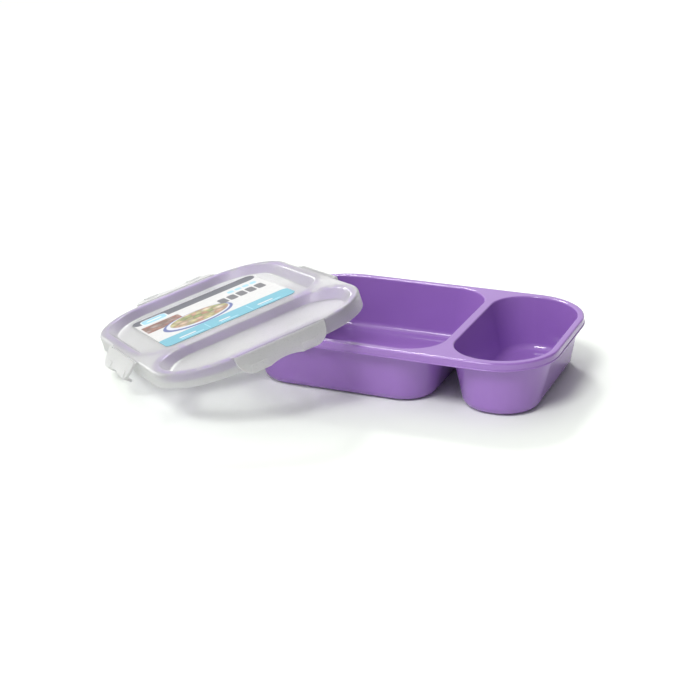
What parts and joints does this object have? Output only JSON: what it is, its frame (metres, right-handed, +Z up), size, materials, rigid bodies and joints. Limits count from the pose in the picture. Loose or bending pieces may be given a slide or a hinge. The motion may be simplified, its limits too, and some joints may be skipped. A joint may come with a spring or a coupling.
{
  "type": "bento lunch box",
  "caption": "Divided lunch tray with its frosted clip-on lid taken off and leaning on the rim; the lid has hinged latches, a soft seal and a printed label.",
  "frame": {"origin": "middle of the tray's footprint, on the flat base of the large bowl, which stands on the table", "axes": "+Z up; +X along the tray's long side towards the small bowl; +Y across it, towards the side away from the leaning lid's low corner"},
  "size_m": [0.3524, 0.2322, 0.0726],
  "materials": {
    "tray_plastic": "glossy moulded purple plastic, opaque, smooth inside",
    "lid_plastic": "frosted translucent moulded plastic, fine satin grain",
    "seal_rubber": "soft satin purple silicone",
    "label_print": "printed film sticker, plain coloured bands and a small food picture, no lettering"
  },
  "bodies": {
    "tray": {"tray": "tray_plastic"},
    "lid": {"lid_shell": "lid_plastic", "seal": "seal_rubber", "label": "label_print", "hinge_film_front": "lid_plastic", "hinge_film_right": "lid_plastic", "hinge_film_back": "lid_plastic", "hinge_film_left": "lid_plastic"},
    "latch_front": {"latch_front": "lid_plastic"},
    "latch_right": {"latch_right": "lid_plastic"},
    "latch_back": {"latch_back": "lid_plastic"},
    "latch_left": {"latch_left": "lid_plastic"}
  },
  "joints": [
    {"name": "lid_lift", "type": "slide", "parent": "tray", "child": "lid", "axis": [0, 0, 1], "range_m": [0, 0.12]},
    {"name": "latch_front_hinge", "type": "hinge", "parent": "lid", "child": "latch_front", "pos_m": [-0.04896, -0.12475, 0.05925], "axis": [-0.6429, -0.7267, -0.2419], "range_deg": [-12, 98]},
    {"name": "latch_right_hinge", "type": "hinge", "parent": "lid", "child": "latch_right", "pos_m": [-0.08086, 0.01003, 0.05975], "axis": [0.7125, -0.6834, 0.1591], "range_deg": [-3, 107]},
    {"name": "latch_back_hinge", "type": "hinge", "parent": "lid", "child": "latch_back", "pos_m": [-0.21248, 0.03209, 0.02273], "axis": [0.6429, 0.7267, 0.2419], "range_deg": [-87, 23]},
    {"name": "latch_left_hinge", "type": "hinge", "parent": "lid", "child": "latch_left", "pos_m": [-0.18058, -0.10269, 0.02223], "axis": [-0.7125, 0.6834, -0.1591], "range_deg": [-45, 65]}
  ]
}
